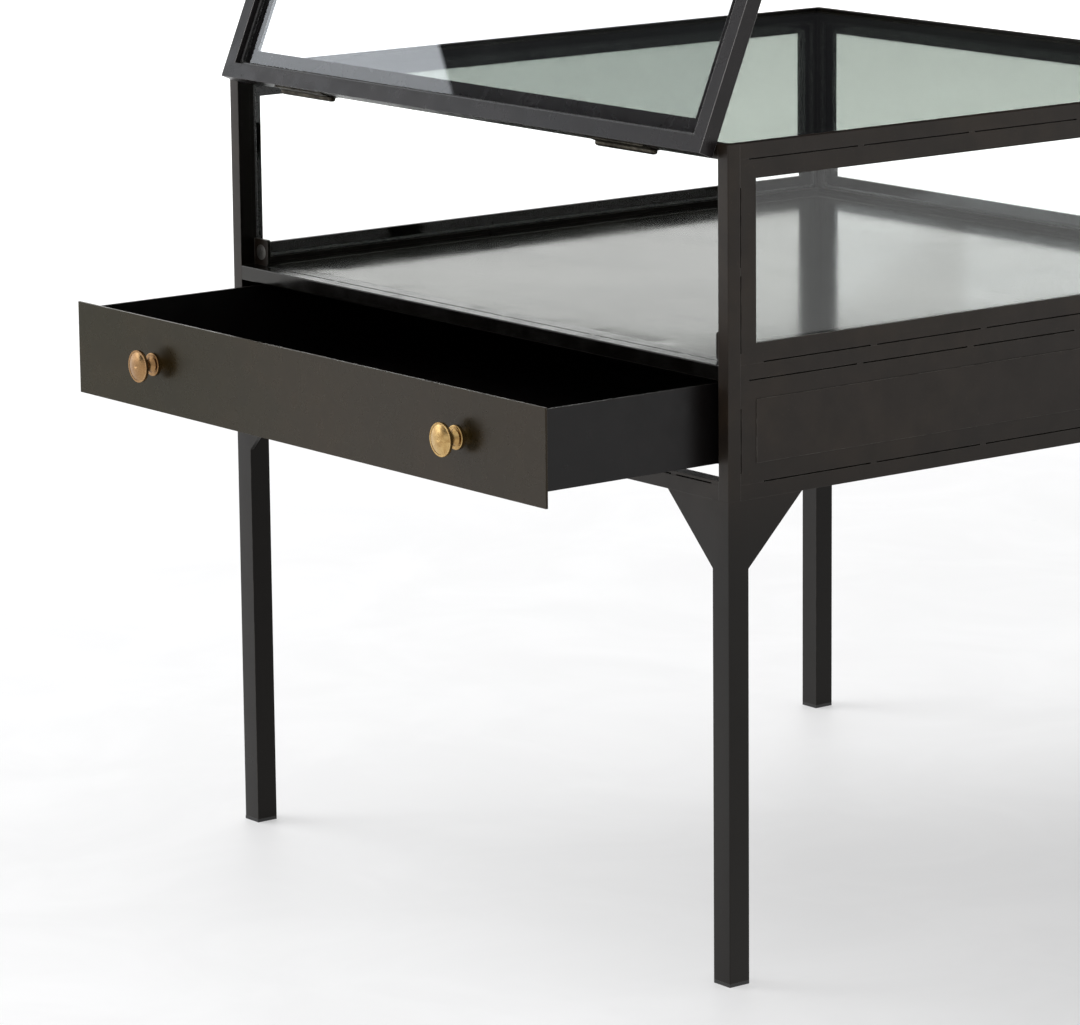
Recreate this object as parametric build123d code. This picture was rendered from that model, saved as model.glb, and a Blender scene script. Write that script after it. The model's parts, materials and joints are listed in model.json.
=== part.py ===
from build123d import *
import os

# Square steel and glass display table: a glazed case over a drawer, standing on four legs.
# Millimetres. The origin is on the floor under the middle of the table. +Z is up, the front
# faces -Y and the right-hand side is +X. The top-hung glass door is modelled swung open over
# the top, leaning on the front rail, and the drawer is modelled part way out.

# Overall size and the levels of the case, from the floor up
width = 610.0
depth = 610.0
height = 610.0
case_height = 254.0
deck_drop = 157.0
sill_rise = 3.0

# Steel sections
leg_size = 18.0
leg_wall = 1.5
bar = 11.0
bar_wall = 1.2
corner_radius = 0.8
angle_flange = 14.5
angle_depth = 11.0
angle_wall = 3.0
sheet = 2.0
gusset_size = 50.0
glide_height = 2.5
glide_plug = 12.0
plug_gap = 0.1

# Open seams between the frames and the angles inside them, broken by short welds
seam_width = 1.0
seam_depth = 3.0
seam_length = 101.0
stile_seam_length = 57.0
stile_seam_limit = 100.0
weld_length = 5.5
seam_margin = 8.0
low_seam_margin = 21.0
stile_margin = 20.0

# Glass, beads, deck and side panels
side_glass = 4.0
top_glass = 6.0
top_lip = 6.5
top_glass_drop = 2.0
top_glass_gap = 0.5
glass_margin = 1.0
bead_width = 2.4
bead_recess = 0.4
bead_edge_round = 0.8
bead_corner_round = 3.0
deck_recess = 0.5
panel_proud = 0.5
panel_sheet = 2.5

# Door, hung from the top rail on two butt hinges and held shut by two magnets
door_gap = 1.0
door_depth = 12.5
door_bar = 12.0
door_strip_width = 13.5
door_strip = 2.5
door_pane = 3.0
door_pane_gap = 1.0
door_bead_width = 2.6
door_bead_step = 4.0
door_bead_round = 1.1
door_knob_rise = 8.2
door_open_angle = 203.0
hinge_gap = 2.2
hinge_offset = 2.5
hinge_length = 62.0
hinge_spacing = 390.0
leaf_thickness = 1.0
leaf_depth = 8.0
leaf_relief = 0.4
knuckle_radius = 2.5
knuckle_count = 5
knuckle_gap = 0.3
pin_radius = 1.2
pin_clearance = 0.05
pin_head_radius = 2.3
pin_head = 2.6
pin_head_round = 1.2
catch_width = 18.0
catch_height = 20.5
catch_thickness = 3.0
catch_corner = 2.5
catch_gap = 0.4
magnet_radius = 6.0
magnet_proud = 0.2

# Drawer and its runners
drawer_gap = 0.5
drawer_pull = 154.0
drawer_depth = 540.0
full_travel = 380.0
box_inset = 10.0
box_drop = 3.5
box_lift = 9.5
ledge_width = 34.0
ledge_gap = 0.2
guide_gap = 1.0
guide_height = 10.0
ear_height = 20.0
ear_reach = 8.0
stop_length = 12.0
stop_gap = 0.5

# Knobs and their screws
knob_radius = 12.3
knob_length = 16.0
knob_spacing = 382.0
rosette_radius = 9.0
rosette_height = 1.8
rosette_round = 0.9
neck_radius = 4.2
waist_height = 5.2
flare_radius = 6.3
head_thickness = 6.0
swell_radius = 9.8
swell_height = 0.6
crown_height = 1.8
ring_width = 1.4
ring_step = 0.2
screw_radius = 2.0
screw_head_radius = 4.5
screw_head = 2.5
screw_head_round = 1.5
screw_bite = 8.0
driver_slot = 1.0
drill_length = 50.0

# Planes and levels worked out from the sizes above
half_w = width / 2
half_d = depth / 2
front = -half_d
inner_w = half_w - bar
inner_d = half_d - bar
leg_top = height - case_height
bottom_rail_top = leg_top + bar
sill_top = bottom_rail_top + sill_rise
deck_top = height - deck_drop
deck_rail_bottom = deck_top - bar
top_rail_bottom = height - bar
web = angle_wall + seam_width
hinge_y = front - hinge_offset
hinge_z = top_rail_bottom - hinge_gap / 2
door_top = top_rail_bottom - hinge_gap
door_bottom = deck_top + door_gap
plate_bottom = sill_top + drawer_gap
plate_top = deck_rail_bottom - drawer_gap
box_half = inner_w - door_gap - box_inset
box_bottom = plate_bottom + box_lift
box_top = plate_top - box_drop
ear_half = box_half + ear_reach
ear_bottom = (box_bottom + box_top - ear_height) / 2

parts = {}


def block(x0, x1, y0, y1, z0, z1):
    """Box between two corners."""
    size = (abs(x1 - x0), abs(y1 - y0), abs(z1 - z0))
    middle = ((x0 + x1) / 2, (y0 + y1) / 2, (z0 + z1) / 2)
    return Pos(*middle) * Box(*size)


def mirrored_x(shape):
    return mirror(shape, about=Plane.YZ)


def on_envelope(edge):
    """True for an edge where two outside faces of the case or a leg meet."""
    centre = edge.center()
    on_side = abs(abs(centre.X) - half_w) < 0.01
    on_face = abs(abs(centre.Y) - half_d) < 0.01
    on_top = abs(centre.Z - height) < 0.01
    return [on_side, on_face, on_top].count(True) >= 2


def eased(shape):
    """Round the edges of a bar that form the outside corners of the table."""
    edges = [edge for edge in shape.edges() if on_envelope(edge)]
    return fillet(edges, corner_radius)


def tube_along_x(x0, x1, y0, y1, z0, z1, wall):
    outside = block(x0, x1, y0, y1, z0, z1)
    return outside - block(x0, x1, y0 + wall, y1 - wall, z0 + wall, z1 - wall)


def tube_along_y(x0, x1, y0, y1, z0, z1, wall):
    outside = block(x0, x1, y0, y1, z0, z1)
    return outside - block(x0 + wall, x1 - wall, y0, y1, z0 + wall, z1 - wall)


# ---------------------------------------------------------------- outer frame and legs

def leg(side_x, side_y):
    """Square tube leg, closed at the top and plugged by a glide at the bottom."""
    x0, x1 = sorted((side_x * half_w, side_x * (half_w - leg_size)))
    y0, y1 = sorted((side_y * half_d, side_y * (half_d - leg_size)))
    outside = eased(block(x0, x1, y0, y1, glide_height, leg_top))
    bore = block(x0 + leg_wall, x1 - leg_wall, y0 + leg_wall, y1 - leg_wall,
                 glide_height, leg_top - leg_wall)
    return outside - bore


def leg_glide(side_x, side_y):
    """Plastic end plug with a flat foot under the leg."""
    x0, x1 = sorted((side_x * half_w, side_x * (half_w - leg_size)))
    y0, y1 = sorted((side_y * half_d, side_y * (half_d - leg_size)))
    inset = leg_wall + plug_gap
    foot = block(x0, x1, y0, y1, 0, glide_height)
    plug = block(x0 + inset, x1 - inset, y0 + inset, y1 - inset,
                 glide_height, glide_height + glide_plug)
    return foot + plug


def gusset(side_x, side_y, across):
    """Triangular plate in the corner between a leg and a bottom rail, flush outside."""
    reach = gusset_size
    outline = Polyline((0, 0), (reach, 0), (0, -reach), (0, 0))
    plate = extrude(make_face(outline), amount=angle_wall)
    if across == "x":
        # stands on the front or rear face and runs towards the middle in X
        plate = plate.rotate(Axis.X, 90)
        if side_x > 0:
            plate = mirrored_x(plate)
        x = side_x * (half_w - leg_size)
        y = front + angle_wall if side_y < 0 else half_d
    else:
        # stands on a side face and runs towards the middle in Y
        plate = plate.rotate(Axis.X, 90).rotate(Axis.Z, 90)
        if side_y > 0:
            plate = mirror(plate, about=Plane.XZ)
        x = -half_w if side_x < 0 else half_w - angle_wall
        y = side_y * (half_d - leg_size)
    return Pos(x, y, leg_top) * plate


def top_rebate():
    """Room for the top pane, sunk between the lips of the top rails and posts."""
    floor = height - top_glass_drop - top_glass
    return block(top_lip - half_w, half_w - top_lip, top_lip - half_d, half_d - top_lip,
                 floor, height + bar)


def post(side_x, side_y):
    """Corner post of the case, solid at the top where the pane's corner sits in it."""
    x0, x1 = sorted((side_x * half_w, side_x * inner_w))
    y0, y1 = sorted((side_y * half_d, side_y * inner_d))
    outside = eased(block(x0, x1, y0, y1, leg_top, height))
    bore = block(x0 + bar_wall, x1 - bar_wall, y0 + bar_wall, y1 - bar_wall,
                 leg_top, top_rail_bottom)
    return outside - bore - top_rebate()


def rail_x(side_y, z0):
    """Rail of the front or rear face."""
    y0, y1 = sorted((side_y * half_d, side_y * inner_d))
    return tube_along_x(-inner_w, inner_w, y0, y1, z0, z0 + bar, bar_wall)


def rail_y(side_x, z0):
    """Rail of a side face."""
    x0, x1 = sorted((side_x * half_w, side_x * inner_w))
    return tube_along_y(x0, x1, -inner_d, inner_d, z0, z0 + bar, bar_wall)


def top_rail():
    """Solid top rail of the front face, rebated along its inner edge for the top pane."""
    bar_stock = block(-inner_w, inner_w, front, -inner_d, top_rail_bottom, height)
    return eased(bar_stock) - top_rebate()


def add_outer_frame():
    corners = {"front_left": (-1, -1), "front_right": (1, -1),
               "rear_left": (-1, 1), "rear_right": (1, 1)}
    for name, (side_x, side_y) in corners.items():
        parts["leg_" + name] = leg(side_x, side_y)
        parts["post_" + name] = post(side_x, side_y)
    parts["leg_glides"] = [leg_glide(*corner) for corner in corners.values()]
    parts["leg_gussets"] = [gusset(*corner, across)
                            for corner in corners.values() for across in ("x", "y")]
    for name, z0 in {"deck_rail": deck_rail_bottom, "bottom_rail": leg_top}.items():
        parts[name + "_front"] = rail_x(-1, z0)
        parts[name + "_rear"] = rail_x(1, z0)
        parts[name + "_left"] = rail_y(-1, z0)
        parts[name + "_right"] = rail_y(1, z0)
    for name, turn in {"front": 0, "right": 90, "rear": 180, "left": 270}.items():
        parts["top_rail_" + name] = top_rail().rotate(Axis.Z, turn)


# ---------------------------------------------------------------- angle frames and infill

def seam_runs(length, first, last, run):
    """Distances from one end to the start and end of each open seam between welds."""
    runs = []
    start = first
    while start < length - last - weld_length:
        end = min(start + run, length - last)
        runs.append((start, end))
        start = end + weld_length
    return runs


def angle_ring(length, rise):
    """Rectangular frame of steel angle lying flat, its flange face in the plane z = 0."""
    outside = Box(length, rise, angle_depth)
    through = Box(length - 2 * angle_flange, rise - 2 * angle_flange, angle_depth)
    rebate = Pos(0, 0, -angle_wall) * Box(length - 2 * web, rise - 2 * web, angle_depth)
    return Pos(0, 0, -angle_depth / 2) * (outside - through - rebate)


def open_seams(length, rise, low_margin):
    """Thin slots along the outside edges of a frame's top face, where it isn't welded."""
    slots = []
    for side, margin in ((1, seam_margin), (-1, low_margin)):
        y0, y1 = side * rise / 2, side * (rise / 2 - seam_width)
        for start, end in seam_runs(length, margin, margin, seam_length):
            slots.append(block(start - length / 2, end - length / 2, y0, y1, -seam_depth, 0))
    run = seam_length if rise > 2 * stile_seam_limit else stile_seam_length
    for start, end in seam_runs(rise, stile_margin, seam_margin, run):
        for side in (-1, 1):
            x0, x1 = side * length / 2, side * (length / 2 - seam_width)
            slots.append(block(x0, x1, rise / 2 - end, rise / 2 - start, -seam_depth, 0))
    return slots


def angle_frame(length, rise, low_margin):
    return angle_ring(length, rise) - open_seams(length, rise, low_margin)


def pane(length, rise, thick, level, margin):
    """Flat pane or sheet with its outer face at the given level."""
    sheet_box = Box(length - 2 * margin, rise - 2 * margin, thick)
    return Pos(0, 0, level - thick / 2) * sheet_box


def bead_ring(length, rise, high, low, margin, width, edge_round):
    """Glazing bead between two levels that holds a pane against the flange of its frame."""
    thick = high - low
    outside = Box(length - 2 * margin, rise - 2 * margin, thick)
    inset = margin + width
    inside = Box(length - 2 * inset, rise - 2 * inset, thick)
    inside = fillet(inside.edges().filter_by(Axis.Z), bead_corner_round)
    ring = outside - inside
    inner_face = ring.faces().sort_by(Axis.Z)[0]
    ring = fillet(inner_face.edges(), edge_round)
    return Pos(0, 0, (high + low) / 2) * ring


def window_bead(length, rise):
    """Bead in an angle frame, a little below the inner edge of the angle."""
    return bead_ring(length, rise, -angle_wall - side_glass, bead_recess - angle_depth,
                     web, bead_width, bead_edge_round)


def on_side(shape, side, z_middle):
    """Stand a flat frame up in one face of the case, its top face flush outside."""
    turns = {"front": 0, "right": 90, "rear": 180, "left": -90}
    places = {"front": (0, front), "right": (half_w, 0), "rear": (0, half_d), "left": (-half_w, 0)}
    x, y = places[side]
    upright = shape.rotate(Axis.X, 90).rotate(Axis.Z, turns[side])
    return Pos(x, y, z_middle) * upright


def add_case_sides():
    """Glazed frames above the deck and sheet panels below it: left, right and rear."""
    window_rise = top_rail_bottom - deck_top
    window_z = (top_rail_bottom + deck_top) / 2
    apron_rise = deck_rail_bottom - bottom_rail_top
    apron_z = (deck_rail_bottom + bottom_rail_top) / 2
    beads = []
    for side in ("left", "right", "rear"):
        length = 2 * inner_w if side == "rear" else 2 * inner_d
        window = angle_frame(length, window_rise, low_seam_margin)
        glass = pane(length, window_rise, side_glass, -angle_wall, web + glass_margin)
        apron = angle_frame(length, apron_rise, low_seam_margin)
        panel = pane(length, apron_rise, panel_sheet, panel_proud, angle_flange)
        parts["glazing_frame_" + side] = on_side(window, side, window_z)
        parts["glass_" + side] = on_side(glass, side, window_z)
        parts["panel_frame_" + side] = on_side(apron, side, apron_z)
        parts["apron_panel_" + side] = on_side(panel, side, apron_z)
        beads.append(on_side(window_bead(length, window_rise), side, window_z))
    parts["glazing_beads"] = beads


def add_top_and_deck():
    """Top pane sunk into the top rails, and the steel deck in its angle frame."""
    length = 2 * inner_w
    rise = 2 * inner_d
    glass = pane(2 * half_w, 2 * half_d, top_glass, -top_glass_drop, top_lip + top_glass_gap)
    deck_frame = angle_frame(length, rise, seam_margin)
    deck = pane(length, rise, sheet, -deck_recess, angle_flange)
    parts["glass_top"] = Pos(0, 0, height) * glass
    parts["deck_frame"] = Pos(0, 0, deck_top) * deck_frame
    parts["deck_panel"] = Pos(0, 0, deck_top) * deck


# ---------------------------------------------------------------- drawer bay

def add_drawer_bay():
    """Sill under the drawer front, and the ledges, guides and stops the drawer runs on."""
    sill = block(-inner_w, inner_w, front, -inner_d, bottom_rail_top, sill_top)
    slots = [block(start - inner_w, end - inner_w, front, front + seam_depth,
                   bottom_rail_top, bottom_rail_top + seam_width)
             for start, end in seam_runs(2 * inner_w, seam_margin, seam_margin, seam_length)]
    parts["drawer_sill"] = sill - slots

    ledge_top = box_bottom - ledge_gap
    ledge_end = inner_d - web
    outer_x = half_w - angle_wall
    guide_x = box_half + guide_gap
    ledge = block(outer_x - ledge_width, outer_x, -ledge_end, ledge_end,
                  ledge_top - sheet, ledge_top)
    guide = block(guide_x, guide_x + sheet, -ledge_end, ledge_end,
                  ledge_top, ledge_top + guide_height)
    stop_face = front + drawer_depth - full_travel
    stop = block(guide_x, half_w + panel_proud - panel_sheet, stop_face - stop_length,
                 stop_face - stop_gap, ear_bottom, ear_bottom + ear_height)
    right = [ledge, guide, stop]
    parts["drawer_runners"] = right + [mirrored_x(piece) for piece in right]


# ---------------------------------------------------------------- hinges and catches

def along_x(radius, x0, x1):
    """Round bar on the hinge line."""
    rod = Cylinder(radius, x1 - x0).rotate(Axis.Y, 90)
    return Pos((x0 + x1) / 2, hinge_y, hinge_z) * rod


def hinge_leaf(middle, knuckles, z0, z1, bore):
    """Flat leaf from z0 to z1 with its own knuckles on the hinge line."""
    half = hinge_length / 2
    leaf_start = hinge_y + knuckle_radius + leaf_relief
    leaf = block(middle - half, middle + half, leaf_start, leaf_start + leaf_depth, z0, z1)
    for x0, x1 in knuckles:
        leaf += along_x(knuckle_radius, middle + x0, middle + x1)
        leaf += block(middle + x0, middle + x1, hinge_y, leaf_start, z0, z1)
    return leaf - along_x(bore, middle - half, middle + half)


def opened(shape):
    """Swing a shape from the closed door round the hinge line to where the door leans."""
    hinge_line = Axis((0, hinge_y, hinge_z), (1, 0, 0))
    return shape.rotate(hinge_line, -door_open_angle)


def add_hinges():
    half = hinge_length / 2
    pitch = hinge_length / knuckle_count
    starts = [pitch * index - half for index in range(knuckle_count)]
    case_knuckles = [(start, start + pitch) for start in starts[::2]]
    door_knuckles = [(start + knuckle_gap, start + pitch - knuckle_gap) for start in starts[1::2]]
    case_leaves = []
    door_leaves = []
    pins = []
    for middle in (-hinge_spacing / 2, hinge_spacing / 2):
        case_leaves.append(hinge_leaf(middle, case_knuckles, top_rail_bottom - leaf_thickness,
                                      top_rail_bottom, pin_radius))
        door_leaf = hinge_leaf(middle, door_knuckles, door_top, door_top + leaf_thickness,
                               pin_radius + pin_clearance)
        door_leaves.append(opened(door_leaf))
        pin = along_x(pin_radius, middle - half, middle + half)
        for side in (-1, 1):
            end = middle + side * half
            head = along_x(pin_head_radius, *sorted((end, end + side * pin_head)))
            tip = head.edges().filter_by(GeomType.CIRCLE).sort_by(Axis.X)[0 if side < 0 else -1]
            pin += fillet(tip, pin_head_round)
        pins.append(pin)
    parts["hinge_case_leaves"] = case_leaves
    parts["hinge_pins"] = pins
    parts["hinge_door_leaves"] = door_leaves


def add_catches():
    """Magnetic catches standing on the deck behind the door's lower corners."""
    face = front + door_depth + catch_gap
    back = face + catch_thickness
    plate = block(inner_w - catch_width, inner_w, face, back, deck_top, deck_top + catch_height)
    inboard = [edge for edge in plate.edges().filter_by(Axis.Y)
               if edge.center().X < inner_w - catch_width / 2]
    plate = fillet(inboard, catch_corner)
    seat_depth = catch_thickness - sheet / 2
    disc = Cylinder(magnet_radius, seat_depth).rotate(Axis.X, 90)
    place = Pos(inner_w - catch_width / 2, face + seat_depth / 2, deck_top + catch_height / 2)
    magnet = place * disc
    bracket = plate - magnet
    proud = Pos(0, -magnet_proud, 0) * magnet
    parts["catch_brackets"] = [bracket, mirrored_x(bracket)]
    parts["catch_magnets"] = [proud, mirrored_x(proud)]


# ---------------------------------------------------------------- knobs

def knob():
    """Turned mushroom knob on a round rosette, along +Z from the plane z = 0."""
    neck_end = knob_length - head_thickness
    shoulder = rosette_radius - rosette_round
    round_start = rosette_height - rosette_round
    lip = neck_end + head_thickness / 3
    rim = knob_length - crown_height
    dish = knob_radius - ring_width
    crown_rise = knob_length - rim + ring_step
    crown_radius = (dish ** 2 + crown_rise ** 2) / (2 * crown_rise)
    crown_sag = crown_radius - (crown_radius ** 2 - dish ** 2 / 4) ** 0.5
    outline = [
        Polyline((screw_radius, 0), (rosette_radius, 0), (rosette_radius, round_start)),
        CenterArc((shoulder, round_start), rosette_round, 0, 90),
        Line((shoulder, rosette_height), (flare_radius, rosette_height)),
        Spline((flare_radius, rosette_height), (neck_radius, waist_height),
               (flare_radius, neck_end)),
        Spline((flare_radius, neck_end), (swell_radius, neck_end + swell_height),
               (knob_radius, lip)),
        Polyline((knob_radius, lip), (knob_radius, rim), (dish, rim), (dish, rim - ring_step)),
        ThreePointArc((dish, rim - ring_step), (dish / 2, knob_length - crown_sag),
                      (0, knob_length)),
        Polyline((0, knob_length), (0, screw_bite), (screw_radius, screw_bite), (screw_radius, 0)),
    ]
    return revolve(Plane.XZ * make_face(outline), Axis.Z)


def knob_screw(panel_thickness):
    """Pan-head screw from behind a panel of the given thickness into the knob."""
    shank = Cylinder(screw_radius, panel_thickness + screw_bite)
    shank = Pos(0, 0, (screw_bite - panel_thickness) / 2) * shank
    head = Cylinder(screw_head_radius, screw_head)
    head = fillet(head.edges().sort_by(Axis.Z)[0], screw_head_round)
    slot = Box(2 * screw_head_radius, driver_slot, driver_slot)
    slot = Pos(0, 0, -screw_head / 2) * slot
    return shank + Pos(0, 0, -panel_thickness - screw_head / 2) * (head - slot)


def facing_front(shape, x, y, z):
    """Turn a knob or screw made along +Z to face -Y, and put it in place."""
    return Pos(x, y, z) * shape.rotate(Axis.X, 90)


def screw_hole(x, y, z):
    hole = Cylinder(screw_radius, drill_length).rotate(Axis.X, 90)
    return Pos(x, y, z) * hole


# ---------------------------------------------------------------- door

def add_door():
    """Inset glazed door, made closed and then swung up to lean on the front rail."""
    length = 2 * (inner_w - door_gap)
    rise = door_top - door_bottom
    middle = (door_top + door_bottom) / 2
    knob_z = door_bottom + door_knob_rise

    inner_length = length - 2 * door_bar
    inner_rise = rise - 2 * door_bar
    ring = Box(length, rise, door_depth) - Box(inner_length, inner_rise, door_depth)
    ring = Pos(0, 0, -door_depth / 2) * ring
    frame = on_side(ring, "front", middle) - screw_hole(0, front, knob_z)
    opening = Box(inner_length - 2 * door_strip_width, inner_rise - 2 * door_strip_width, door_strip)
    strip = Pos(0, 0, -door_strip / 2) * (Box(inner_length, inner_rise, door_strip) - opening)
    strip = strip - open_seams(inner_length, inner_rise, seam_margin)
    glass = pane(inner_length, inner_rise, door_pane, -door_strip, door_pane_gap)
    bead = bead_ring(inner_length, inner_rise, -door_strip - door_pane, door_bead_step - door_depth,
                     0, door_bead_width, door_bead_round)
    parts["door_frame"] = opened(frame)
    parts["door_glazing_frame"] = opened(on_side(strip, "front", middle))
    parts["door_glass"] = opened(on_side(glass, "front", middle))
    parts["door_bead"] = opened(on_side(bead, "front", middle))
    parts["door_knob"] = opened(facing_front(knob(), 0, front, knob_z))
    parts["door_knob_screw"] = opened(facing_front(knob_screw(door_depth), 0, front, knob_z))


# ---------------------------------------------------------------- drawer

def pulled(shape):
    return Pos(0, -drawer_pull, 0) * shape


def add_drawer():
    """Sheet-steel drawer: a wide front plate with a narrower open box behind it."""
    plate_half = inner_w - door_gap
    plate_back = front + sheet
    box_back = front + drawer_depth
    knob_z = (plate_bottom + plate_top) / 2
    knob_xs = (-knob_spacing / 2, knob_spacing / 2)

    plate = block(-plate_half, plate_half, front, plate_back, plate_bottom, plate_top)
    holes = [screw_hole(x, front, knob_z) for x in knob_xs]
    side = block(box_half - sheet, box_half, plate_back, box_back, box_bottom, box_top)
    floor = block(sheet - box_half, box_half - sheet, plate_back, box_back,
                  box_bottom, box_bottom + sheet)
    back = block(-box_half, box_half, box_back, box_back + sheet, box_bottom, box_top)
    ears = block(-ear_half, ear_half, box_back, box_back + sheet,
                 ear_bottom, ear_bottom + ear_height)
    knobs = [facing_front(knob(), x, front, knob_z) for x in knob_xs]
    screws = [facing_front(knob_screw(sheet), x, front, knob_z) for x in knob_xs]
    parts["drawer_front"] = pulled(plate - holes)
    parts["drawer_side_right"] = pulled(side)
    parts["drawer_side_left"] = pulled(mirrored_x(side))
    parts["drawer_floor"] = pulled(floor)
    parts["drawer_back"] = pulled(back + ears)
    parts["drawer_knobs"] = [pulled(piece) for piece in knobs]
    parts["drawer_knob_screws"] = [pulled(piece) for piece in screws]


add_outer_frame()
add_case_sides()
add_top_and_deck()
add_drawer_bay()
add_hinges()
add_catches()
add_door()
add_drawer()

os.makedirs("parts", exist_ok=True)
for name, shape in parts.items():
    solid = Compound(children=shape) if isinstance(shape, list) else shape
    export_step(solid, "parts/" + name + ".step")
print(len(parts), "parts written")
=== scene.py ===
import json
import math
import bmesh
import bpy
from mathutils import Matrix, Vector


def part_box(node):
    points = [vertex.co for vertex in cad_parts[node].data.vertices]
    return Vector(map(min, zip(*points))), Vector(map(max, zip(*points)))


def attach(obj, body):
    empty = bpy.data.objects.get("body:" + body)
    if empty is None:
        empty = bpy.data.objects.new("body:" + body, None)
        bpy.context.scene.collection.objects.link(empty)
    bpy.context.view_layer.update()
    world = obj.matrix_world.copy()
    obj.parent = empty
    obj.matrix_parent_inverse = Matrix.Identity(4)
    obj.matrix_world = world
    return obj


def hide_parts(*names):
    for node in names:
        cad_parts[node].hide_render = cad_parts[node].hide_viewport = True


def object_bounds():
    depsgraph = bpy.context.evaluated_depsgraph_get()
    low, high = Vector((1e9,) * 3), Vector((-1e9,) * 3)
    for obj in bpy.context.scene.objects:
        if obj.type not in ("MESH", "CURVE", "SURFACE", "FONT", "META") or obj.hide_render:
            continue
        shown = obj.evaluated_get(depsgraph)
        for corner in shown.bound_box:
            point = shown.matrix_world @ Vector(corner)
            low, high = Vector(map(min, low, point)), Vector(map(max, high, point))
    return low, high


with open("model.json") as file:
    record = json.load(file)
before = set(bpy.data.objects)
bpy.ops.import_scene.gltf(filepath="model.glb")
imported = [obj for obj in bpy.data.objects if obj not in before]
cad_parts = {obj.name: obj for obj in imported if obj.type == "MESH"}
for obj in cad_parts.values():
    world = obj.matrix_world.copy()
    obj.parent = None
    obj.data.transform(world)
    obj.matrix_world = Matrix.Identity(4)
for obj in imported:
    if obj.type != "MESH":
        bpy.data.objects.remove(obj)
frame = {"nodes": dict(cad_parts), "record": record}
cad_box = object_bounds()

MM = 0.001
NODES = frame["nodes"]
DECK_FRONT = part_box("deck_panel")[0].y

# Heights between which the look of the steel changes from that of the legs to that of the case
LEG_FADE = (0.30, 0.40)
CASE_FADE = (0.42, 0.44)

# Level directions in the studio, seen from the camera
TO_BACK = (-0.79, 0.61, 0.0)
TO_RIGHT = (0.61, 0.79, 0.0)


# ------------------------------------------------------------------ shader helper

class Graph:
    """Short calls for building a node tree."""

    def __init__(self, tree):
        self.tree = tree
        tree.nodes.clear()

    def node(self, kind, inputs=None, **props):
        made = self.tree.nodes.new(kind)
        for key, value in props.items():
            setattr(made, key, value)
        for key, value in (inputs or {}).items():
            self.feed(made.inputs[key], value)
        return made

    def feed(self, socket, value):
        if isinstance(value, bpy.types.NodeSocket):
            self.tree.links.new(value, socket)
        else:
            socket.default_value = value

    def object_place(self):
        return self.node("ShaderNodeTexCoord").outputs["Object"]

    def part_of(self, vector, axis):
        return self.node("ShaderNodeSeparateXYZ", {0: vector}).outputs["XYZ".index(axis)]

    def math(self, operation, a, b=0.0):
        return self.node("ShaderNodeMath", {0: a, 1: b}, operation=operation).outputs[0]

    def add(self, a, b):
        return self.math("ADD", a, b)

    def times(self, a, b):
        return self.math("MULTIPLY", a, b)

    def vector(self, operation, a, b):
        made = self.node("ShaderNodeVectorMath", {0: a, 1: b}, operation=operation)
        return made.outputs["Value"] if operation == "DOT_PRODUCT" else made.outputs[0]

    def ramp(self, value, low, high, to_low=0.0, to_high=1.0):
        made = self.node("ShaderNodeMapRange", {"Value": value, "From Min": low, "From Max": high,
                                                "To Min": to_low, "To Max": to_high})
        made.interpolation_type = "SMOOTHSTEP"
        return made.outputs[0]

    def mix(self, factor, a, b):
        made = self.node("ShaderNodeMix", {0: factor, 6: a, 7: b}, data_type="RGBA")
        return made.outputs[2]

    def mix_value(self, factor, a, b):
        return self.node("ShaderNodeMix", {0: factor, 2: a, 3: b}).outputs[0]

    def stretched(self, place, scale):
        return self.node("ShaderNodeMapping", {"Vector": place, "Scale": scale}).outputs[0]

    def flat_normal(self):
        return self.node("ShaderNodeNewGeometry").outputs["Normal"]

    def rounded_normal(self, radius):
        return self.node("ShaderNodeBevel", {"Radius": radius}, samples=6).outputs[0]

    def bend(self, rounded):
        """How far a rounded normal bends away from the true one."""
        return self.math("SUBTRACT", 1.0, self.vector("DOT_PRODUCT", rounded, self.flat_normal()))

    def swing(self, value, amount):
        """Value between 0 and 1 turned into an amount either way from zero."""
        return self.times(self.math("SUBTRACT", value, 0.5), amount)

    def noise(self, place, scale, detail=3.0, roughness=0.5, distortion=0.0):
        made = self.node("ShaderNodeTexNoise", {"Vector": place, "Scale": scale, "Detail": detail,
                                                "Roughness": roughness, "Distortion": distortion})
        return made.outputs[0]

    def bump(self, height, distance, strength=1.0, normal=None):
        made = self.node("ShaderNodeBump", {"Height": height, "Distance": distance,
                                            "Strength": strength})
        if normal is not None:
            self.feed(made.inputs["Normal"], normal)
        return made.outputs[0]


def rgb(red, green, blue):
    return (red, green, blue, 1.0)


def scaled(colour, factor):
    return tuple(channel * factor for channel in colour[:3]) + (1.0,)


def new_material(name):
    material = bpy.data.materials.new(name)
    material.use_nodes = True
    return material, Graph(material.node_tree)


def output(graph, shader):
    graph.node("ShaderNodeOutputMaterial", {"Surface": shader})


WHITE = rgb(1.0, 1.0, 1.0)
# Lighter colour for rounded edges: rubbed wear, and a painted highlight where edges catch the light.
RUBBED_EDGE_AND_HIGHLIGHT = rgb(0.17, 0.16, 0.145)
# Bare-metal colour for upright door edges: wear, and a painted highlight.
BARE_EDGE_AND_HIGHLIGHT = rgb(0.56, 0.54, 0.53)


# ------------------------------------------------------------------ steel

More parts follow.
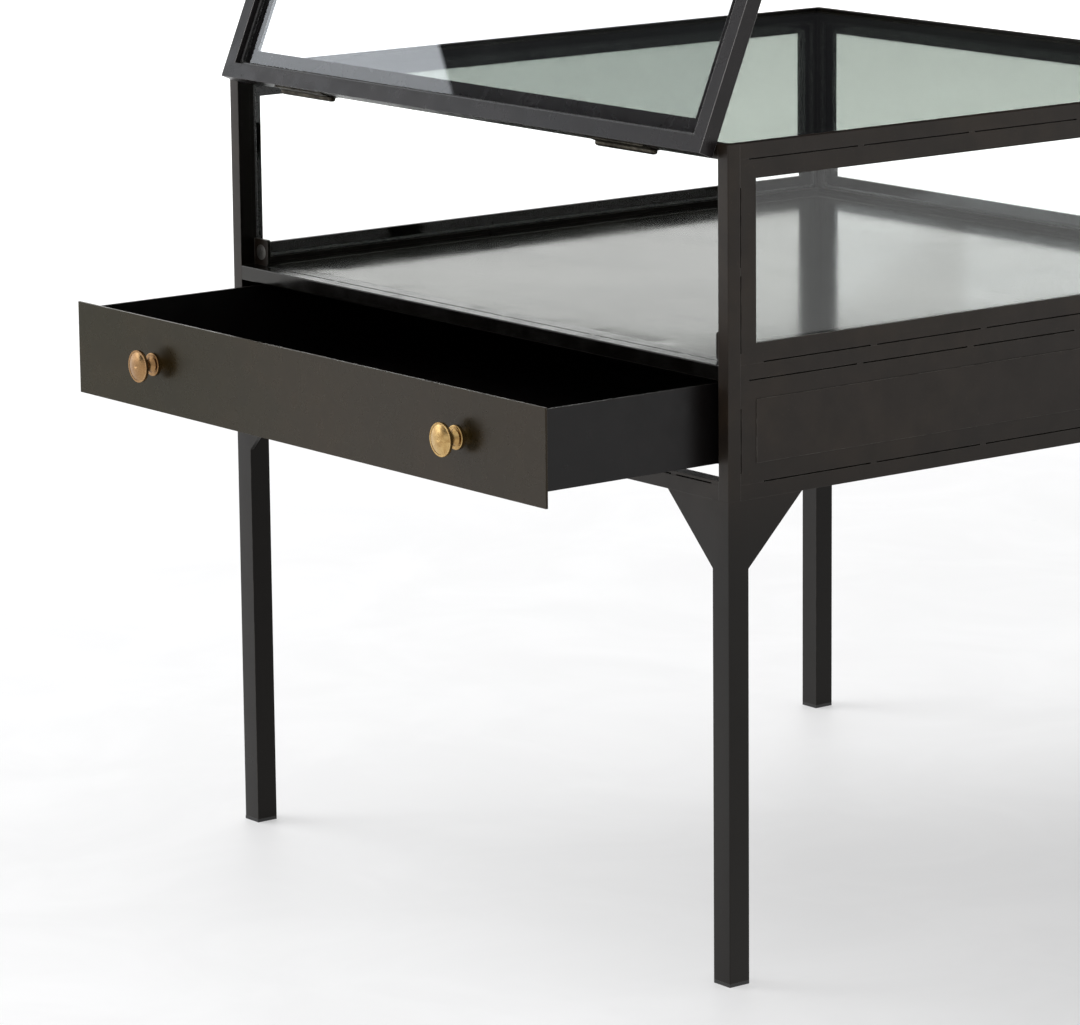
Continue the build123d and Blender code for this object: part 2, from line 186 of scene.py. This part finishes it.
def rubbed_steel_tone(g, place, base, warm):
    """Blotchy dark lacquer with lighter specks; also gives the noises it is made from."""
    blotches = g.noise(place, 11.0, 5.0, 0.62, 0.4)
    clouds = g.noise(place, 48.0, 4.0, 0.6)
    specks = g.noise(place, 330.0, 2.0, 0.5)
    tone = g.mix(g.ramp(blotches, 0.38, 0.66), base, warm)
    tone = g.mix(g.ramp(clouds, 0.3, 0.75, 0.0, 0.55), tone, scaled(base, 0.62))
    tone = g.mix(g.ramp(specks, 0.66, 0.78, 0.0, 0.35), tone, scaled(warm, 1.9))
    return tone, blotches, clouds, specks


def painted_inside_shade_mask(g, place):
    """1 on faces that look towards the middle of the case, less on those of the legs; it places
    painted shade.
    """
    level = g.part_of(place, "Z")
    inward = g.vector("MULTIPLY", place, (-1.0, -1.0, 0.0))
    inward = g.vector("MULTIPLY", g.flat_normal(), inward)
    front_to_back = g.times(g.part_of(inward, "Y"), g.ramp(level, *CASE_FADE))
    inward = g.add(g.part_of(inward, "X"), front_to_back)
    return g.times(g.ramp(inward, 0.10, 0.14), g.ramp(level, *CASE_FADE, 0.55, 1.0))


def handled_edges_and_highlight(g, rounded, patchy):
    """1 along upright edges: worn where they are touched, and given a painted highlight."""
    sideways = g.math("ABSOLUTE", g.part_of(rounded, "X"))
    handled_and_highlight = g.times(g.ramp(sideways, 0.12, 0.35), g.ramp(sideways, 0.99, 0.90))
    return g.times(handled_and_highlight, g.ramp(patchy, 0.25, 1.0, 0.75, 1.0))


def blackened_steel(name, base, warm, roughness, edge_radius=0.6 * MM, wear_and_highlight=0.6,
                    sheen=WHITE, right_sheen=None, ior=1.4, bare_stiles_and_highlight=False,
                    leg_tone=None, inside_painted_shade=None):
    """Dark lacquered steel: blotchy patina, fine grain, edges lightened by rubbing and by a painted
    highlight.

    right_sheen is the sheen at the right where it differs from that at the left. leg_tone scales the
    base tone on the legs; the inside factor scales the base tone and the sheen on faces turned towards
    the inside, as painted shade."""
    material, g = new_material(name)
    place = g.object_place()
    grain = g.noise(place, 1300.0, 3.0, 0.6)
    tone, blotches, clouds, specks = rubbed_steel_tone(g, place, base, warm)
    if right_sheen is not None:
        sheen = g.mix(g.ramp(g.part_of(place, "X"), -0.30, 0.16), sheen, right_sheen)
    if leg_tone is not None:
        on_case = g.ramp(g.part_of(place, "Z"), *LEG_FADE)
        tone = g.mix(on_case, scaled(base, leg_tone), tone)
    if inside_painted_shade is not None:
        # Painted shade: faces turned towards the inside get a darker base tone and sheen.
        inward = painted_inside_shade_mask(g, place)
        tone = g.mix(inward, tone, scaled(base, inside_painted_shade))
        sheen = g.mix(inward, sheen, scaled(sheen, inside_painted_shade))

    rounded = g.rounded_normal(edge_radius)
    patchy = g.ramp(g.noise(place, 85.0, 4.0, 0.65), 0.38, 0.60, 0.25, 1.0)
    # rubbed: edges lightened partly by wear and partly by a painted highlight.
    rubbed = g.times(g.ramp(g.bend(rounded), 0.015, 0.16), g.times(patchy, wear_and_highlight))
    tone = g.mix(rubbed, tone, RUBBED_EDGE_AND_HIGHLIGHT)
    # Upright stile edges turn bare and lighter: wear, and a painted highlight.
    if bare_stiles_and_highlight:
        handled_and_highlight = handled_edges_and_highlight(g, rounded, patchy)
        tone = g.mix(handled_and_highlight, tone, BARE_EDGE_AND_HIGHLIGHT)
        rubbed = g.math("MAXIMUM", rubbed, handled_and_highlight)

    rough = g.ramp(clouds, 0.25, 0.8, roughness - 0.05, roughness + 0.07)
    rough = g.add(rough, g.swing(blotches, 0.12))
    height = g.add(g.times(grain, 0.35), g.times(specks, 0.5))
    skin = g.node("ShaderNodeBsdfPrincipled", {
        "Base Color": tone, "Roughness": rough, "Metallic": g.times(rubbed, 0.8),
        "IOR": ior, "Specular Tint": sheen, "Normal": g.bump(height, 0.012 * MM, 1.0, rounded)})
    output(g, skin.outputs[0])
    return material


def pulled_down_edge(g, place):
    """Normal of a sheet that dips a little in places where its front edge is welded."""
    along = g.noise(g.stretched(place, (10.0, 0.0, 0.0)), 1.0, 1.0, 0.5)
    near = g.ramp(g.part_of(place, "Y"), DECK_FRONT + 26.0 * MM, DECK_FRONT - 8.0 * MM)
    pulled = g.times(g.ramp(along, 0.44, 0.60), near)
    return g.bump(g.times(pulled, -1.0), 0.45 * MM)


def hair_scratches(g, place):
    """1 along a few thin wandering lines."""
    wave = g.node("ShaderNodeTexWave", {"Vector": place, "Scale": 2.3, "Distortion": 19.0,
                                        "Detail": 2.0, "Detail Scale": 0.7})
    return g.ramp(wave.outputs["Fac"], 0.9985, 1.0)


def deck_steel(name, roughness=0.10):
    """Dark sheet rubbed smooth: a blurred mirror with faint rolling lines and hair scratches."""
    material, g = new_material(name)
    place = g.object_place()
    clouds = g.noise(place, 9.0, 5.0, 0.6, 0.6)
    lines = g.noise(g.stretched(place, (9.0, 150.0, 1.0)), 1.0, 2.0, 0.5)
    wipes = g.noise(place, 20.0, 2.0, 0.6, 1.4)
    smears = g.noise(g.stretched(place, (4.0, 11.0, 1.0)), 1.0, 4.0, 0.6, 0.5)
    tone = g.mix(g.ramp(clouds, 0.35, 0.68), rgb(0.004, 0.0040, 0.0040), rgb(0.008, 0.0076, 0.0070))
    tone = g.mix(g.ramp(wipes, 0.55, 0.8, 0.0, 0.4), tone, rgb(0.022, 0.021, 0.019))
    rough = g.ramp(clouds, 0.3, 0.75, roughness, roughness + 0.045)
    rough = g.add(rough, g.swing(wipes, 0.06))
    height = g.add(g.times(lines, 0.5), g.times(hair_scratches(g, place), -2.0))
    skin = g.node("ShaderNodeBsdfPrincipled", {
        "Base Color": tone, "Roughness": rough, "IOR": g.ramp(smears, 0.38, 0.66, 1.50, 1.41),
        "Specular Tint": rgb(1.0, 0.98, 0.70),
        "Normal": g.bump(height, 0.0015 * MM, 1.0, pulled_down_edge(g, place))})
    output(g, skin.outputs[0])
    return material


# ------------------------------------------------------------------ other materials

def float_glass(name, tint, smudge):
    """Clear glass with a green cast; light passes through it to what stands behind."""
    material, g = new_material(name)
    place = g.object_place()
    film = g.noise(place, 16.0, 4.0, 0.65, 1.2)
    dust = g.noise(place, 900.0, 2.0, 0.5)
    clear = g.node("ShaderNodeBsdfPrincipled", {
        "Base Color": tint, "Roughness": 0.0, "IOR": 1.52, "Transmission Weight": 1.0})
    haze = g.node("ShaderNodeBsdfDiffuse", {"Color": rgb(0.75, 0.77, 0.78)})
    amount = g.times(g.ramp(film, 0.45, 0.8, 0.2, 1.0), smudge)
    amount = g.add(amount, g.ramp(dust, 0.74, 0.80, 0.0, 0.05))
    dirty = g.node("ShaderNodeMixShader", {0: amount, 1: clear.outputs[0], 2: haze.outputs[0]})
    passed = g.node("ShaderNodeBsdfTransparent", {"Color": scaled(tint, 0.96)})
    path = g.node("ShaderNodeLightPath")
    soft = g.math("MAXIMUM", path.outputs["Is Shadow Ray"], path.outputs["Is Diffuse Ray"])
    final = g.node("ShaderNodeMixShader", {0: soft, 1: dirty.outputs[0], 2: passed.outputs[0]})
    output(g, final.outputs[0])
    return material


def bead_rubber(name):
    """Black glazing rubber with a soft shine and slight waviness."""
    material, g = new_material(name)
    place = g.object_place()
    waves = g.noise(place, 140.0, 3.0, 0.5)
    grain = g.noise(place, 1500.0, 2.0, 0.5)
    tone = g.mix(g.ramp(waves, 0.3, 0.7), rgb(0.012, 0.012, 0.013), rgb(0.026, 0.025, 0.024))
    height = g.add(waves, g.times(grain, 0.25))
    skin = g.node("ShaderNodeBsdfPrincipled", {
        "Base Color": tone, "Roughness": g.ramp(grain, 0.3, 0.7, 0.20, 0.30), "IOR": 1.55,
        "Normal": g.bump(height, 0.06 * MM)})
    output(g, skin.outputs[0])
    return material


def worn_metal(name, bright, dark, roughness, blotch):
    """Bare or plated metal with darker tarnish in patches and lighter rubbed edges."""
    material, g = new_material(name)
    place = g.object_place()
    patches = g.noise(place, blotch, 4.0, 0.65, 0.5)
    grain = g.noise(place, 1800.0, 2.0, 0.5)
    rounded = g.rounded_normal(0.35 * MM)
    tone = g.mix(g.ramp(patches, 0.35, 0.68), bright, dark)
    tone = g.mix(g.ramp(g.bend(rounded), 0.01, 0.15, 0.0, 0.6), tone, scaled(bright, 1.25))
    skin = g.node("ShaderNodeBsdfPrincipled", {
        "Base Color": tone, "Metallic": 1.0,
        "Roughness": g.ramp(patches, 0.3, 0.7, roughness, roughness + 0.14),
        "Normal": g.bump(grain, 0.01 * MM, 1.0, rounded)})
    output(g, skin.outputs[0])
    return material


def aged_brass(name):
    """Turned brass: browner to the left, with tarnish in the hollows."""
    material, g = new_material(name)
    place = g.object_place()
    to_left = g.ramp(g.part_of(place, "X"), -0.12, 0.12, 1.0, 0.0)
    patches = g.noise(place, 180.0, 4.0, 0.6, 0.4)
    grain = g.noise(place, 2200.0, 2.0, 0.5)
    tone = g.mix(g.ramp(patches, 0.3, 0.72), rgb(0.60, 0.41, 0.17), rgb(0.42, 0.25, 0.09))
    tone = g.mix(g.times(to_left, 0.75), tone, rgb(0.30, 0.16, 0.075))
    hollow = g.node("ShaderNodeAmbientOcclusion", {"Distance": 4.0 * MM}, samples=6)
    hollow = g.ramp(hollow.outputs["AO"], 0.25, 0.9, 0.75, 0.0)
    tone = g.mix(hollow, tone, rgb(0.10, 0.055, 0.025))
    rounded = g.rounded_normal(0.3 * MM)
    skin = g.node("ShaderNodeBsdfPrincipled", {
        "Base Color": tone, "Metallic": 1.0, "Roughness": g.ramp(patches, 0.3, 0.7, 0.20, 0.32),
        "Normal": g.bump(grain, 0.006 * MM, 1.0, rounded)})
    output(g, skin.outputs[0])
    return material


def moulded_plastic(name):
    """Black plastic, scuffed grey in places."""
    material, g = new_material(name)
    place = g.object_place()
    grain = g.noise(place, 1600.0, 3.0, 0.6)
    scuffs = g.noise(place, 120.0, 4.0, 0.7)
    tone = g.mix(g.ramp(scuffs, 0.5, 0.8), rgb(0.018, 0.018, 0.018), rgb(0.06, 0.058, 0.055))
    skin = g.node("ShaderNodeBsdfPrincipled", {
        "Base Color": tone, "Roughness": g.ramp(scuffs, 0.3, 0.8, 0.42, 0.62),
        "Normal": g.bump(grain, 0.03 * MM)})
    output(g, skin.outputs[0])
    return material


# ------------------------------------------------------------------ materials on the CAD pieces

# The frame steel has painted shade on its faces turned towards the inside of the case.
frame_steel = blackened_steel(
    "frame_steel", rgb(0.0125, 0.0085, 0.0060), rgb(0.0200, 0.0130, 0.0080), 0.33,
    sheen=rgb(1.0, 0.97, 0.93), leg_tone=0.25, inside_painted_shade=0.20)
# Full edge lightening on the panel: wear, and a painted highlight along its edges.
panel_steel = blackened_steel(
    "panel_steel", rgb(0.0150, 0.0105, 0.0080), rgb(0.0220, 0.0150, 0.0100), 0.36,
    edge_radius=0.7 * MM, wear_and_highlight=1.0, sheen=rgb(1.0, 0.97, 0.93))
# Full edge lightening on the drawer front: the bright line along its top edge is a painted highlight.
drawer_steel = blackened_steel(
    "drawer_steel", rgb(0.0084, 0.0058, 0.0012), rgb(0.0130, 0.0076, 0.0020), 0.28,
    edge_radius=0.3 * MM, wear_and_highlight=1.0, sheen=rgb(0.45, 0.40, 0.16), right_sheen=rgb(1.0, 0.86, 0.72),
    ior=1.42)
box_steel = blackened_steel(
    "box_steel", rgb(0.0036, 0.0029, 0.0029), rgb(0.0062, 0.0048, 0.0048), 0.32)
# Smoother steel for the deck rail front and the deck frame; its very dark base colour is painted
# shade.
painted_shade_rail_steel = blackened_steel(
    "painted_shade_rail_steel", rgb(0.0014, 0.0012, 0.0011), rgb(0.0028, 0.0023, 0.0020), 0.16,
    edge_radius=1.3 * MM, wear_and_highlight=0.08, sheen=rgb(1.0, 0.97, 0.90), ior=1.5)
# The door's upright edges carry wear and a painted highlight.
door_steel = blackened_steel(
    "door_steel", rgb(0.0095, 0.0080, 0.0085), rgb(0.0140, 0.0110, 0.0110), 0.28,
    bare_stiles_and_highlight=True)
hinge_steel = worn_metal(
    "hinge_steel", rgb(0.085, 0.074, 0.056), rgb(0.030, 0.025, 0.019), 0.40, 160.0)
magnet_steel = worn_metal(
    "magnet_steel", rgb(0.34, 0.33, 0.31), rgb(0.16, 0.15, 0.14), 0.32, 200.0)
screw_steel = worn_metal(
    "screw_steel", rgb(0.52, 0.52, 0.51), rgb(0.30, 0.29, 0.28), 0.28, 300.0)

BY_SLOT = {
    "frame_steel": frame_steel,
    "panel_steel": panel_steel,
    "drawer_steel": drawer_steel,
    "deck_steel": deck_steel("deck_steel"),
    "bead_black": bead_rubber("bead_black"),
    "hinge_steel": hinge_steel,
    "magnet_steel": magnet_steel,
    "screw_steel": screw_steel,
    "aged_brass": aged_brass("aged_brass"),
    "glide_plastic": moulded_plastic("glide_plastic"),
    "case_glass": float_glass("case_glass", rgb(0.975, 0.992, 0.980), 0.004),
}
BY_NODE = {
    "door_glass": float_glass("case_glass_door", rgb(0.856, 0.870, 0.880), 0.004),
    "glass_top": float_glass("case_glass_top", rgb(0.900, 1.0, 0.905), 0.003),
    "drawer_side_left": box_steel,
    "drawer_side_right": box_steel,
    "drawer_floor": box_steel,
    "drawer_back": box_steel,
    "drawer_runners": box_steel,
}


def dress_nodes():
    """Give each CAD piece the material of its slot, or its own where it has one."""
    for part in frame["record"]["subparts"]:
        mesh = NODES[part["node"]].data
        mesh.materials.clear()
        mesh.materials.append(BY_NODE.get(part["node"]) or BY_SLOT[part["material_slot"]])


dress_nodes()


# ------------------------------------------------------------------ welded frames

def welded(name, body, node_names, steel, polished_and_shaded=()):
    """One skin for bars that are welded and ground flush, so that light runs over the joints."""
    joined = bmesh.new()
    for node_name in node_names:
        before = len(joined.faces)
        joined.from_mesh(NODES[node_name].data)
        joined.faces.ensure_lookup_table()
        for face in joined.faces[before:]:
            face.material_index = int(node_name in polished_and_shaded)
    bmesh.ops.remove_doubles(joined, verts=joined.verts, dist=0.002 * MM)
    for edge in joined.edges:
        sharp = len(edge.link_faces) != 2 or edge.calc_face_angle(math.pi) > math.radians(25)
        edge.smooth = not sharp
    for face in joined.faces:
        face.smooth = True
    mesh = bpy.data.meshes.new(name)
    joined.to_mesh(mesh)
    joined.free()
    mesh.materials.append(steel)
    # Polished pieces take the rail steel, whose dark colour is painted shade.
    if polished_and_shaded:
        mesh.materials.append(painted_shade_rail_steel)
    piece = bpy.data.objects.new(name, mesh)
    bpy.context.scene.collection.objects.link(piece)
    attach(piece, body)
    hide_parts(*node_names)


CASE_BARS = ("leg_front", "leg_rear", "post_", "top_rail_", "deck_rail_", "bottom_rail_",
             "glazing_frame_", "panel_frame_", "leg_gussets", "drawer_sill",
             "catch_brackets", "deck_frame")
# The deck rail front and the deck frame get the rail steel: smoother, with painted shade in its
# colour.
welded("welded_case_frame", "case", sorted(node for node in NODES if node.startswith(CASE_BARS)),
       frame_steel, polished_and_shaded=("deck_rail_front", "deck_frame"))
welded("welded_door_frame", "door", ["door_frame", "door_glazing_frame"], door_steel)


# ------------------------------------------------------------------ floor, world and lights

# A bright panel stands on the left, seen only in reflections: its light, the darkness in front
# of it, and the normal of the plane through the table that its front edge lies in.
PANEL_LIGHT = 3.1
FRONT_DARK = 0.03
PANEL_EDGE = (0.55317, -0.36735, 0.74770)

BACKDROP_LIGHT = 1.3
BACKDROP_THROUGH_GLASS = 1.48

# The black card behind the far corner: distance from it, how far it runs left and right of it,
# its top, and how far above the top rails its lower edge hangs.
CARD_DISTANCE = 0.04
CARD_LEFT, CARD_RIGHT = -1.0, 2.0
CARD_TOP = 3.5
CARD_CLEARANCE = 3.5 * MM

FLOOR_REACH = 30.0
FLOOR_DIM_PLACE = (1.15, 0.50, 0.0)


def studio_light(g, way):
    """Light of the white walls: brighter behind and to the left, dimmer to the right."""
    behind = g.ramp(g.vector("DOT_PRODUCT", way, TO_BACK), -0.9, 0.9, 0.75, 1.42)
    return g.times(behind, g.ramp(g.vector("DOT_PRODUCT", way, TO_RIGHT), -0.8, 0.9, 1.1, 0.7))


def panel_direction(g, way):
    """1 in the part of the studio, left of the camera and above the floor, with the panel."""
    ahead = g.times(g.ramp(g.part_of(way, "Y"), -0.40, -0.46), g.ramp(g.part_of(way, "Z"), 0.02, 0.10))
    return g.times(ahead, g.ramp(g.part_of(way, "X"), 0.0, -0.2))


def white_studio():
    """World of white walls; what is mirrored also finds the bright panel on the left."""
    world = bpy.data.worlds.new("studio")
    bpy.context.scene.world = world
    world.use_nodes = True
    g = Graph(world.node_tree)
    way = g.node("ShaderNodeTexCoord").outputs["Generated"]
    path = g.node("ShaderNodeLightPath")
    walls = studio_light(g, way)
    ahead = panel_direction(g, way)
    beyond = g.ramp(g.vector("DOT_PRODUCT", way, PANEL_EDGE), -0.0006, 0.0006)
    panel = g.mix_value(beyond, PANEL_LIGHT, FRONT_DARK)
    mirrored = g.mix_value(ahead, walls, panel)
    level = g.mix_value(path.outputs["Is Camera Ray"], walls, BACKDROP_LIGHT)
    level = g.mix_value(path.outputs["Is Transmission Ray"], level, BACKDROP_THROUGH_GLASS)
    bounced = g.math("GREATER_THAN", path.outputs["Glossy Depth"], 0.5)
    level = g.mix_value(bounced, level, mirrored)
    hue = g.mix(g.times(ahead, bounced), WHITE, rgb(0.95, 1.0, 1.06))
    shade = g.node("ShaderNodeBackground", {"Color": hue, "Strength": level})
    g.node("ShaderNodeOutputWorld", {"Surface": shade.outputs[0]})


def floor_light(g, place):
    """Extra light on the floor: it grows towards the backdrop and dips right of the table."""
    away = g.vector("DOT_PRODUCT", place, TO_BACK)
    lit = g.ramp(away, 0.9, 3.6, 0.44, 0.74)
    lit = g.add(lit, g.ramp(away, 2.8, 4.5, 0.0, 0.37))
    lit = g.add(lit, g.ramp(away, 0.0, -0.5, 0.0, 0.06))
    from_dim = g.vector("SUBTRACT", place, FLOOR_DIM_PLACE)
    from_dim = g.node("ShaderNodeVectorMath", {0: from_dim}, operation="LENGTH").outputs["Value"]
    return g.math("SUBTRACT", lit, g.ramp(from_dim, 0.3, 1.35, 0.34, 0.0))


def floor_paint():
    """White paint with faint grey smears and specks."""
    material, g = new_material("floor")
    place = g.object_place()
    smears = g.noise(place, 5.0, 5.0, 0.6, 0.8)
    specks = g.noise(place, 60.0, 2.0, 0.5)
    tone = g.mix(g.ramp(smears, 0.35, 0.7), rgb(0.34, 0.34, 0.345), rgb(0.37, 0.37, 0.375))
    tone = g.mix(g.ramp(specks, 0.74, 0.80, 0.0, 0.3), tone, rgb(0.27, 0.265, 0.26))
    skin = g.node("ShaderNodeBsdfPrincipled", {
        "Base Color": tone, "Roughness": 0.55, "Normal": g.bump(smears, 1.0 * MM, 0.3)})
    glow = g.node("ShaderNodeEmission", {"Color": WHITE, "Strength": floor_light(g, place)})
    both = g.node("ShaderNodeAddShader", {0: skin.outputs[0], 1: glow.outputs[0]})
    output(g, both.outputs[0])
    return material


def one_face(name, corners, material):
    """A single four-sided face that belongs to the studio, not to the table."""
    mesh = bpy.data.meshes.new(name)
    mesh.from_pydata(corners, [], [(0, 1, 2, 3)])
    mesh.materials.append(material)
    made = bpy.data.objects.new(name, mesh)
    bpy.context.scene.collection.objects.link(made)
    return made


def pale_floor():
    reach = FLOOR_REACH
    corners = [(-reach, -reach, 0), (reach, -reach, 0), (reach, reach, 0), (-reach, reach, 0)]
    one_face("floor", corners, floor_paint())


def card_black():
    """Nearly black to rays that have bounced off a surface, clear to all others."""
    material, g = new_material("card_black")
    dark = g.node("ShaderNodeEmission", {"Color": rgb(0.9, 0.9, 1.0), "Strength": 0.012})
    clear = g.node("ShaderNodeBsdfTransparent")
    bounced = g.math("GREATER_THAN", g.node("ShaderNodeLightPath").outputs["Glossy Depth"], 0.5)
    shown = g.node("ShaderNodeMixShader", {0: bounced, 1: clear.outputs[0], 2: dark.outputs[0]})
    output(g, shown.outputs[0])
    return material


def reflection_card():
    """Black card just behind the far corner, seen only as a reflection."""
    far_corner = Vector((cad_box[0].x, cad_box[1].y, 0.0))
    start = far_corner + Vector(TO_BACK).normalized() * CARD_DISTANCE
    along = Vector(TO_RIGHT).normalized()
    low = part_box("top_rail_front")[1].z + CARD_CLEARANCE
    corners = [start + along * side + Vector((0, 0, level))
               for side, level in ((CARD_LEFT, low), (CARD_RIGHT, low),
                                   (CARD_RIGHT, CARD_TOP), (CARD_LEFT, CARD_TOP))]
    card = one_face("reflection_card", corners, card_black())
    card.visible_camera = False
    card.visible_diffuse = False
    card.visible_shadow = False


def softbox(name, place, target, side, power):
    """Square lamp that isn't seen in reflections or through glass."""
    data = bpy.data.lights.new(name, "AREA")
    data.shape = "RECTANGLE"
    data.size = data.size_y = side
    data.energy = power
    lamp = bpy.data.objects.new(name, data)
    lamp.visible_glossy = False
    lamp.visible_transmission = False
    lamp.location = place
    lamp.rotation_mode = "QUATERNION"
    lamp.rotation_quaternion = (Vector(target) - Vector(place)).to_track_quat("-Z", "Y")
    bpy.context.scene.collection.objects.link(lamp)


white_studio()
pale_floor()
reflection_card()
softbox("key_left", (-2.2, -1.6, 2.6), (0, 0, 0.3), 2.0, 66.0)


# ------------------------------------------------------------------ camera

CAMERA_PLACE = (3.1152, -2.6484, 1.1152)
CAMERA_AZIMUTH, CAMERA_TILT, CAMERA_ROLL = 52.261, 11.811, -0.573
SENSOR_WIDTH = 36.0
LENS = 176.602


def photo_camera():
    """Long lens from the front right, a little above the table, slightly rolled."""
    azimuth, tilt, roll = map(math.radians, (CAMERA_AZIMUTH, CAMERA_TILT, CAMERA_ROLL))
    back = Vector((math.sin(azimuth) * math.cos(tilt), -math.cos(azimuth) * math.cos(tilt),
                   math.sin(tilt)))
    level_right = (-back).cross(Vector((0, 0, 1))).normalized()
    level_up = level_right.cross(-back)
    right = math.cos(roll) * level_right + math.sin(roll) * level_up
    up = math.cos(roll) * level_up - math.sin(roll) * level_right
    data = bpy.data.cameras.new("camera")
    data.sensor_fit = "HORIZONTAL"
    data.sensor_width = SENSOR_WIDTH
    data.lens = LENS
    data.clip_start, data.clip_end = 0.1, 100.0
    camera = bpy.data.objects.new("camera", data)
    turn = Matrix((right, up, back)).transposed().to_4x4()
    camera.matrix_world = Matrix.Translation(CAMERA_PLACE) @ turn
    bpy.context.scene.collection.objects.link(camera)
    bpy.context.scene.camera = camera


photo_camera()
bpy.context.scene.view_settings.view_transform = "Standard"
bpy.context.scene.view_settings.look = "None"
